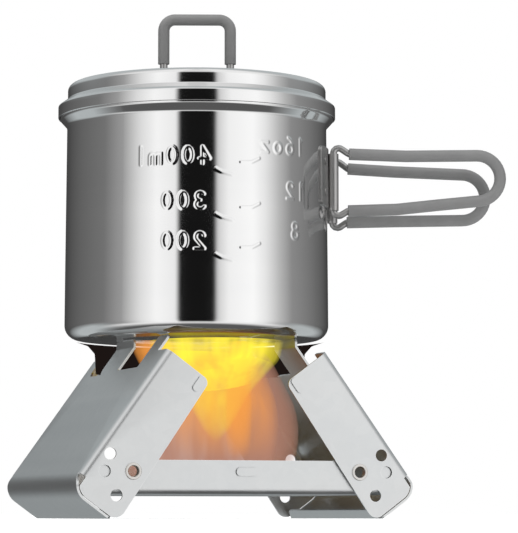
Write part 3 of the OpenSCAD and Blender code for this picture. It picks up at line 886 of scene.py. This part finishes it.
# %% Folding handles
WIRE_R, SLEEVE_R = 1.2, 2.1
TURN_ABOVE, TURN_BELOW = 3.6, 3.1
handle_shapes = {
    "front": {
        "upper": [(5.6, 129.6), (26, 128.9), (51.4, 129.2)], "tip": ((51.4, 121.0), 8.2),
        "lower": [(37.4, 111.4), (22.6, 109.8), (5.2, 109.2)], "barrel": (109.2, 129.7),
    },
    "rear": {
        "upper": [(5.6, 125.4), (22, 124.4), (46.7, 123.4)], "tip": ((46.7, 115.1), 8.3),
        "lower": [(22, 106.4), (5.2, 106.0)], "barrel": (105.6, 126.1),
    },
}


def handle_path(shape):
    """Centre line of the gripped part of a handle, in its own (x, z)."""
    upper = rounded([(p, 25) for p in shape["upper"]], closed=False)
    centre, radius = shape["tip"]
    tip = arc(centre, radius, 90, -90, 20)
    lower = rounded([(tuple(tip[-1]), 0)] + [(p, 25) for p in shape["lower"]], closed=False)
    return upper + tip[1:] + lower[1:]


for end, shape in handle_shapes.items():
    hinge = joint_place(end + "_handle_fold")
    place = Matrix.Translation((hinge.x, hinge.y, 0)) @ Matrix.Rotation(pot_turn, 4, "Z")
    grip = handle_path(shape)
    low, high = shape["barrel"]
    wire = [((0, high - 8), 0), ((0, high + TURN_ABOVE), 1.8), (tuple(grip[0]), 1.5)]
    wire_in = [(tuple(grip[-1]), 1.5), ((0, low - TURN_BELOW), 1.8), ((0, low + 8), 0)]
    start = rounded(wire + [(tuple(grip[2]), 0)], closed=False)
    finish = rounded([(tuple(grip[-3]), 0)] + wire_in, closed=False)
    body = end + "_handle"
    finish_piece(
        body + "_loop", bar(in_plane(start + grip[3:-3] + finish), WIRE_R), place, body,
        satin, [body + "_wire"],
    )
    finish_piece(
        body + "_grip", bar(in_plane(grip), SLEEVE_R, hollow=0.75), place, body,
        sleeve_grey, [body + "_sleeve"], outward=False,
    )

# %% The lid's bail
bail_hinge = joint_place("bail_fold").z
BAIL_R, BAIL_SLEEVE, BAIL_HALF = 1.4, 2.05, 11.95
bail_top = box_mm("bail_sleeve")[1].z - BAIL_SLEEVE
bail_corners = [
    ((-4, bail_hinge), 0), ((-BAIL_HALF, bail_hinge), 1.6), ((-BAIL_HALF, bail_top), 4),
    ((BAIL_HALF, bail_top), 4), ((BAIL_HALF, bail_hinge), 1.6), ((4, bail_hinge), 0),
]
sleeve_low = box_mm("bail_sleeve")[0].z
sleeve_corners = [
    ((-BAIL_HALF, sleeve_low), 0), ((-BAIL_HALF, bail_top), 4),
    ((BAIL_HALF, bail_top), 4), ((BAIL_HALF, sleeve_low), 0),
]
bail_path = rounded(bail_corners, closed=False, steps=10)
sleeve_path = rounded(sleeve_corners, closed=False, steps=10)
finish_piece(
    "bail_loop", bar(in_plane(bail_path), BAIL_R), ON_POT, "bail", satin, ["bail_wire"]
)
finish_piece(
    "bail_grip", bar(in_plane(sleeve_path), BAIL_SLEEVE, hollow=0.6), ON_POT, "bail",
    sleeve_grey, ["bail_sleeve"], outward=False,
)

# %% [markdown]
# ## Brackets
# The handle bracket is a curved flange with two barrels rolled at its middle, spot-welded to the pot.
# The flange is another blank: flat first, then wrapped round the pot's wall. The barrels are tubes.

# %% Handle bracket
BARREL_R, BARREL_BORE = 1.8, 1.28


def barrel_profile(low, high, bore, outside_r):
    """Closed profile of a short tube with broken edges."""
    return rounded([
        ((bore, low), 0.12), ((outside_r, low), 0.2), ((outside_r, high), 0.2), ((bore, high), 0.12),
    ], steps=3)


FLANGE, FLANGE_R, FLANGE_HALF_ANGLE = 0.7, 46.6, 21
flange_reach = FLANGE_R * radians(FLANGE_HALF_ANGLE)
front_low, front_high = handle_shapes["front"]["barrel"]
rear_low, rear_high = handle_shapes["rear"]["barrel"]
flange_outline = rounded([
    ((-flange_reach, front_low + 1.0), 2), ((0, front_low + 1.0), 0.3), ((0, rear_low + 1.0), 0.3),
    ((flange_reach, rear_low + 1.0), 2), ((flange_reach, rear_high + 1.6), 2),
    ((0, rear_high + 1.6), 0.3), ((0, front_high + 1.6), 0.3),
    ((-flange_reach, front_high + 1.6), 2),
])
flange_bm = flat_sheet(flange_outline)
fold_lines(flange_bm, "x", [flange_reach * k / 12 for k in range(-11, 12)])
for vert in flange_bm.verts:
    angle = vert.co.x / FLANGE_R
    radius = wall_radius(vert.co.y) + FLANGE / 2 + 0.03
    vert.co = (radius * cos(angle), radius * sin(angle), vert.co.y)
flange = finish_piece(
    "bracket_flange", flange_bm, ON_POT, "pot", satin, ["handle_bracket"], outward=False
)
thicken(flange, FLANGE, 0.15)
for end, shape in handle_shapes.items():
    hinge = joint_place(end + "_handle_fold")
    place = Matrix.Translation((hinge.x, hinge.y, 0))
    tube = spun(barrel_profile(*shape["barrel"], BARREL_BORE, BARREL_R), 40)
    finish_piece("bracket_barrel_" + end, tube, place, "pot", satin)

# %% Bail bracket
PLATE_LONG, PLATE_WIDE, PLATE_THICK = 20, 15, 0.8
plate = bmesh.new()
bmesh.ops.create_cube(plate, size=1)
bmesh.ops.scale(plate, verts=plate.verts, vec=(PLATE_LONG, PLATE_WIDE, PLATE_THICK))
upright_edges = [e for e in plate.edges if abs(e.verts[0].co.z - e.verts[1].co.z) > 0.5]
bmesh.ops.bevel(
    plate, geom=upright_edges, offset=2.5, segments=6, affect="EDGES", profile=0.5, material=-1
)
rim_edges = [e for e in plate.edges if e.calc_face_angle(0) > 1.2]
bmesh.ops.bevel(
    plate, geom=rim_edges, offset=0.25, segments=3, affect="EDGES", profile=0.5, material=-1
)
plate_middle = box_mm("lid_bracket")[0].z + PLATE_THICK / 2
bmesh.ops.translate(plate, verts=plate.verts, vec=(0, 0, plate_middle))
finish_piece("bail_bracket_plate", plate, ON_POT, "lid", satin, ["lid_bracket"])
lying = ON_POT @ Matrix.Translation((0, 0, bail_hinge)) @ Matrix.Rotation(pi / 2, 4, "Y")
finish_piece(
    "bail_bracket_barrel", spun(barrel_profile(-10.5, 10.5, BAIL_R + 0.08, 2.1), 40), lying, "lid",
    satin,
)

# %% [markdown]
# ## Fuel
# Two pressed tablets lie on the tray. Each is a block with broken edges and a shallow break line.

# %% Fuel tablets
TABLET_LONG, TABLET_WIDE, TABLET_SHIFT, BREAK_HALF, BREAK_DEEP = 26, 16, 8.6, 1.1, 0.8
fuel_low, fuel_high = box_mm("fuel_tablets")
tablets = bmesh.new()
for s in (-1, 1):
    size = Vector((TABLET_WIDE, TABLET_LONG, fuel_high.z - fuel_low.z - 0.2))
    made = bmesh.ops.create_cube(tablets, size=1)["verts"]
    bmesh.ops.scale(tablets, verts=made, vec=size)
    bmesh.ops.translate(tablets, verts=made, vec=(s * TABLET_SHIFT, 0, (fuel_low.z + fuel_high.z) / 2))
bmesh.ops.bevel(
    tablets, geom=tablets.edges[:], offset=1.0, segments=4, affect="EDGES", profile=0.5, material=-1
)
for y in (-BREAK_HALF, 0, BREAK_HALF):
    cut = tablets.verts[:] + tablets.edges[:] + tablets.faces[:]
    bmesh.ops.bisect_plane(tablets, geom=cut, plane_co=(0, y, 0), plane_no=(0, 1, 0))
for vert in tablets.verts:
    if abs(vert.co.y) < 0.01 and vert.co.z > fuel_high.z - 2:
        vert.co.z -= BREAK_DEEP
finish_piece("fuel_blocks", tablets, Matrix(), "stove", fuel_white, ["fuel_tablets"])

# %% The spot welds are right as the CAD has them, and only need their finish
for name in ("bracket_welds", "lid_bracket_welds"):
    welds = frame["nodes"][name]
    welds.data.materials.clear()
    welds.data.materials.append(satin)

# %% [markdown]
# ## The flame
# The flame isn't part of the object, so it is staged. Each tongue is a spun shape whose light fades
# towards its outline. The veil is half a drop and shows only its inner side, as a glow behind the
# rest. The flame is dimmer to mirrored and bounced light than to the camera, so that the metal round
# it keeps its own colour.

# %% Flame


def flame_material(name, colour, strength, cover, fade, low, high, faintest=0.45, inner=False):
    """A glowing shell, clear at its outline and below a level; if asked, only its inside shows."""
    material, tree = new_material(name, empty=True)
    out = node(tree, "ShaderNodeOutputMaterial")
    glow = node(tree, "ShaderNodeEmission", {"Color": (*colour, 1)})
    clear = node(tree, "ShaderNodeBsdfTransparent")
    mix = node(tree, "ShaderNodeMixShader")
    rim = node(tree, "ShaderNodeLayerWeight", {"Blend": fade})
    inside = node(tree, "ShaderNodeMath", {0: 1.0}, operation="SUBTRACT")
    soft = node(tree, "ShaderNodeMath", {1: 1.6}, operation="POWER")
    amount = node(tree, "ShaderNodeMath", {1: cover}, operation="MULTIPLY", use_clamp=True)
    place = node(tree, "ShaderNodeTexCoord")
    stretch = node(tree, "ShaderNodeMapping", {"Scale": (1, 1, 0.16)})
    streaks = node(tree, "ShaderNodeTexNoise", {"Scale": 130.0, "Detail": 2.0})
    ripple = node(tree, "ShaderNodeMapRange", {1: 0.35, 2: 0.6, 3: faintest, 4: 1.0})
    streaked = node(tree, "ShaderNodeMath", operation="MULTIPLY")
    level = node(tree, "ShaderNodeSeparateXYZ")
    which = node(tree, "ShaderNodeNewGeometry")
    shown = node(tree, "ShaderNodeMapRange", {1: 0.0, 2: 1.0, 3: 0.0 if inner else 1.0, 4: 1.0})
    covered = node(tree, "ShaderNodeMath", operation="MULTIPLY")
    ray = node(tree, "ShaderNodeLightPath")
    power = node(tree, "ShaderNodeMapRange", {1: 0.0, 2: 1.0, 3: 0.3 * strength, 4: strength})
    foot = node(tree, "ShaderNodeMapRange", {1: low * MM, 2: high * MM, 3: 0.0, 4: 1.0})
    footed = node(tree, "ShaderNodeMath", operation="MULTIPLY")
    join(
        tree,
        ((rim, "Facing"), (inside, 1)), ((inside, 0), (soft, 0)), ((soft, 0), (amount, 0)),
        ((place, "Object"), (stretch, "Vector")), ((stretch, "Vector"), (streaks, "Vector")),
        ((streaks, 0), (ripple, 0)), ((ripple, 0), (streaked, 0)), ((amount, 0), (streaked, 1)),
        ((place, "Object"), (level, 0)), ((level, "Z"), (foot, 0)),
        ((foot, 0), (footed, 0)), ((streaked, 0), (footed, 1)), ((footed, 0), (covered, 0)),
        ((shown, 0), (covered, 1)), ((covered, 0), (mix, 0)),
        ((ray, "Is Camera Ray"), (power, 0)), ((power, 0), (glow, "Strength")),
        ((which, "Backfacing"), (shown, 0)),
        ((clear, 0), (mix, 1)), ((glow, 0), (mix, 2)), ((mix, 0), (out, 0)),
    )
    return material


def flame_tongue(name, shape, right, ahead, low, high, wide, material, turn=2 * pi):
    """A spun flame shape as a stage piece."""
    bm = spun(rounded(shape, closed=False), 32, closed=False, turn=turn)
    bmesh.ops.remove_doubles(bm, verts=bm.verts, dist=1e-4)
    bmesh.ops.scale(bm, verts=bm.verts, vec=(wide, wide, high - low))
    bmesh.ops.translate(bm, verts=bm.verts, vec=(right, -ahead, low))
    bmesh.ops.transform(bm, matrix=Matrix.Scale(MM, 4) @ ON_POT, verts=bm.verts)
    if turn > pi:
        bmesh.ops.recalc_face_normals(bm, faces=bm.faces)
    else:
        bmesh.ops.reverse_faces(bm, faces=bm.faces)
    tongue = to_object(name, bm)
    tongue.data.shade_smooth()
    tongue.data.materials.append(material)
    tongue.visible_shadow = False
    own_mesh(tongue)


DROP = [((0, 0), 0), ((0.8, 0.02), 0.2), ((1.0, 0.4), 0.4), ((0.6, 0.9), 0.3), ((0, 1.0), 0)]
CROWN = [
    ((0, 0), 0), ((0.2, 0.15), 0.2), ((0.5, 0.5), 0.3), ((0.95, 0.82), 0.2), ((1.0, 0.99), 0),
    ((0, 1.0), 0),
]
COLUMN = [((0, 0), 0), ((0.9, 0.1), 0.3), ((1.0, 0.6), 0.4), ((0.7, 1.0), 0.1), ((0, 1.0), 0)]
fuel_top = fuel_high.z
flame_top = pot_base - 0.4
veil = flame_material(
    "flame veil", (0.46, 0.23, 0.165), 1.0, 1.3, 0.25, fuel_top - 8, fuel_top - 5,
    faintest=0.9, inner=True,
)
amber = flame_material("amber flame", (0.95, 0.36, 0.07), 1.0, 0.8, 0.5, fuel_top + 4, fuel_top + 26)
yellow = flame_material("yellow flame", (1.0, 0.83, 0.06), 1.15, 1.3, 0.45, fuel_top + 8, flame_top - 8)
flame_tongue("flame_veil", DROP, 4, 0, fuel_top - 6, flame_top + 2, 35, veil, turn=pi)
flame_tongue("flame_amber", DROP, 9, 0, fuel_top, flame_top, 22, amber)
flame_tongue("flame_streak", COLUMN, 15, 3, fuel_top + 2, flame_top, 5, amber)
flame_tongue("flame_crown", CROWN, 7, 6, fuel_top + 9, flame_top, 24, yellow)
flame_tongue("flame_left", CROWN, -15, 2, fuel_top + 24, flame_top, 8, amber)

# %% [markdown]
# Behind the flame it is nearly black under the pot, where there is only shade. A half band of painted
# shade, which only shows its inner side and only to the camera, stands for it.

# %% Painted shade behind the flame
painted_shade_band, shade_band_tree = new_material("painted shade band", empty=True)
shade_band_out = node(shade_band_tree, "ShaderNodeOutputMaterial")
# Painted shade: a near-black glow on the band's inner side, seen only by the camera.
black = node(shade_band_tree, "ShaderNodeEmission", {"Color": (0.012, 0.008, 0.007, 1), "Strength": 1.0})
nothing = node(shade_band_tree, "ShaderNodeBsdfTransparent")
which_side = node(shade_band_tree, "ShaderNodeNewGeometry")
ray = node(shade_band_tree, "ShaderNodeLightPath")
inner_side = node(shade_band_tree, "ShaderNodeMath", operation="MULTIPLY")
shade_band_mix = node(shade_band_tree, "ShaderNodeMixShader")
join(
    shade_band_tree,
    ((which_side, "Backfacing"), (inner_side, 0)), ((ray, "Is Camera Ray"), (inner_side, 1)),
    ((inner_side, 0), (shade_band_mix, 0)), ((nothing, 0), (shade_band_mix, 1)), ((black, 0), (shade_band_mix, 2)),
    ((shade_band_mix, 0), (shade_band_out, 0)),
)
BAND = [((0.86, 0), 0), ((0.87, 0.6), 0.3), ((0.93, 0.85), 0.2), ((1.05, 1.0), 0)]
flame_tongue("painted_shade_band", BAND, 1.2, 0, pot_base - 12, pot_base - 0.2, 43, painted_shade_band, turn=pi)

# %% [markdown]
# ## Studio
# Polished steel shows nothing but its surroundings. The surroundings are a ring of light that is black
# straight in front, bright on both sides of that and dim behind, as two big cards beside the lens make
# it. At steeper angles, up and down alike, it is grey behind the pot and a bright card in front of it,
# and straight below it is dark. The visible background itself is plain white.

# %% Surroundings
world = bpy.data.worlds.new("studio")
bpy.context.scene.world = world
world.use_nodes = True
sky = world.node_tree
sky.nodes.clear()
RING = [
    (-178, 0.05), (-155, 0.07), (-123, 0.14), (-88, 0.20), (-68, 0.38), (-50, 0.85), (-35, 1.1),
    (-18, 1.0), (-14.5, 0.008), (15, 0.008), (18.5, 0.75), (28, 1.05), (50, 1.15), (62, 0.95),
    (77, 0.56), (91, 0.30), (127, 0.17), (160, 0.06),
]
direction = node(sky, "ShaderNodeTexCoord")
square = node(sky, "ShaderNodeVectorRotate", {"Angle": -pot_turn}, rotation_type="Z_AXIS")
parts = node(sky, "ShaderNodeSeparateXYZ")
ahead = node(sky, "ShaderNodeMath", {1: -1.0}, operation="MULTIPLY")
azimuth = node(sky, "ShaderNodeMath", operation="ARCTAN2")
around = node(sky, "ShaderNodeMapRange", {1: -pi, 2: pi, 3: 0.0, 4: 1.0})
ring = node(sky, "ShaderNodeValToRGB")
stops = ring.color_ramp.elements
for k, (turn, light) in enumerate(RING):
    stop = stops[k] if k < 1 else stops.new((turn + 180) / 360)
    stop.position = (turn + 180) / 360
    stop.color = (light, light, light, 1)
stops[len(stops) - 1].color = stops[0].color
ceiling = node(sky, "ShaderNodeMapRange", {1: 0.16, 2: 0.40, 3: 0.0, 4: 1.0})
behind = node(sky, "ShaderNodeMapRange", {1: -0.2, 2: 0.3, 3: 0.0, 4: 1.0})
raised = node(sky, "ShaderNodeMath", operation="MULTIPLY")
steep = node(sky, "ShaderNodeMath", operation="ABSOLUTE")
pit = node(sky, "ShaderNodeMapRange", {1: -0.6, 2: -0.8, 3: 0.0, 4: 1.0})
card = node(sky, "ShaderNodeMapRange", {1: 0.42, 2: 0.58, 3: 0.0, 4: 0.85})
in_front = node(sky, "ShaderNodeMath", {0: 1.0}, operation="SUBTRACT")
front_card = node(sky, "ShaderNodeMath", operation="MULTIPLY")
carded = node(sky, "ShaderNodeMix", {7: (0.95, 0.95, 0.95, 1)}, data_type="RGBA")
below = node(sky, "ShaderNodeMix", {7: (0.11, 0.11, 0.11, 1)}, data_type="RGBA")
above = node(sky, "ShaderNodeMix", {7: (0.50, 0.535, 0.545, 1)}, data_type="RGBA")
seen = node(sky, "ShaderNodeLightPath")
lit = node(sky, "ShaderNodeBackground")
plain = node(sky, "ShaderNodeBackground", {"Color": (1, 1, 1, 1), "Strength": 1.0})
choose = node(sky, "ShaderNodeMixShader")
sky_out = node(sky, "ShaderNodeOutputWorld")
join(
    sky,
    ((direction, "Generated"), (square, "Vector")), ((square, 0), (parts, 0)),
    ((parts, "Y"), (ahead, 0)), ((parts, "X"), (azimuth, 0)), ((ahead, 0), (azimuth, 1)),
    ((azimuth, 0), (around, 0)), ((around, 0), (ring, 0)),
    ((parts, "Z"), (steep, 0)), ((steep, 0), (ceiling, 0)), ((ceiling, 0), (raised, 0)),
    ((parts, "Y"), (behind, 0)), ((parts, "Z"), (pit, 0)), ((pit, 0), (below, 0)),
    ((behind, 0), (raised, 1)), ((raised, 0), (above, 0)), ((ring, 0), (above, 6)),
    ((steep, 0), (card, 0)), ((behind, 0), (in_front, 1)), ((card, 0), (front_card, 0)),
    ((in_front, 0), (front_card, 1)), ((front_card, 0), (carded, 0)), ((above, 2), (carded, 6)),
    ((carded, 2), (below, 6)), ((below, 2), (lit, "Color")), ((seen, "Is Camera Ray"), (choose, 0)),
    ((lit, 0), (choose, 1)), ((plain, 0), (choose, 2)), ((choose, 0), (sky_out, 0)),
)

# %% [markdown]
# The floor is a pale plane. Metal would mirror it as a hard line, so mirrored rays pass through it and
# meet the lower half of the surroundings instead.

# %% Floor
floor_bm = bmesh.new()
bmesh.ops.create_grid(floor_bm, x_segments=1, y_segments=1, size=3.0)
floor = to_object("floor", floor_bm)
floor_paint, paint = new_material("pale floor", empty=True)
paint_out = node(paint, "ShaderNodeOutputMaterial")
pale = node(paint, "ShaderNodeBsdfDiffuse", {"Color": (0.86, 0.86, 0.86, 1)})
lift_white = node(paint, "ShaderNodeEmission", {"Color": (1, 1, 1, 1), "Strength": 0.45})
seen_floor = node(paint, "ShaderNodeAddShader")
unseen = node(paint, "ShaderNodeBsdfTransparent")
floor_ray = node(paint, "ShaderNodeLightPath")
floor_mix = node(paint, "ShaderNodeMixShader")
join(
    paint,
    ((pale, 0), (seen_floor, 0)), ((lift_white, 0), (seen_floor, 1)),
    ((floor_ray, "Is Glossy Ray"), (floor_mix, 0)), ((seen_floor, 0), (floor_mix, 1)),
    ((unseen, 0), (floor_mix, 2)), ((floor_mix, 0), (paint_out, 0)),
)
floor.data.materials.append(floor_paint)

# %% [markdown]
# One big softbox overhead gives the soft light. Metal doesn't mirror it.

# %% Softbox
softbox_data = bpy.data.lights.new("ceiling softbox", "AREA")
softbox_data.energy = 14
softbox_data.size = 1.4
softbox_place, softbox_aim = Vector((-200, -200, 1300)), Vector((0, 0, 80))
softbox = bpy.data.objects.new("ceiling softbox", softbox_data)
softbox.location = softbox_place * MM
softbox.rotation_euler = (softbox_aim - softbox_place).to_track_quat("-Z", "Y").to_euler()
softbox.visible_glossy = False
bpy.context.scene.collection.objects.link(softbox)

# %% [markdown]
# ## Camera
# The camera stands low, close to the floor, square to the pot, and looks slightly up and to the right.

# %% Camera
CAMERA_DISTANCE, CAMERA_HEIGHT = 990, 2
LOOK_UP, LOOK_RIGHT = 5.06, 1.29
camera_data = bpy.data.cameras.new("camera")
camera_data.sensor_width = 36
camera_data.lens = 187.9
camera_data.clip_start = 0.05
camera = bpy.data.objects.new("camera", camera_data)
toward = Vector((sin(pot_turn), -cos(pot_turn), 0))
camera.location = (pot_axis + toward * CAMERA_DISTANCE + Vector((0, 0, CAMERA_HEIGHT))) * MM
camera.rotation_euler = (radians(90 + LOOK_UP), 0, pot_turn - radians(LOOK_RIGHT))
bpy.context.scene.collection.objects.link(camera)
bpy.context.scene.camera = camera
bpy.context.scene.view_settings.view_transform = "Standard"
print("camera at", [round(x, 3) for x in camera.location])
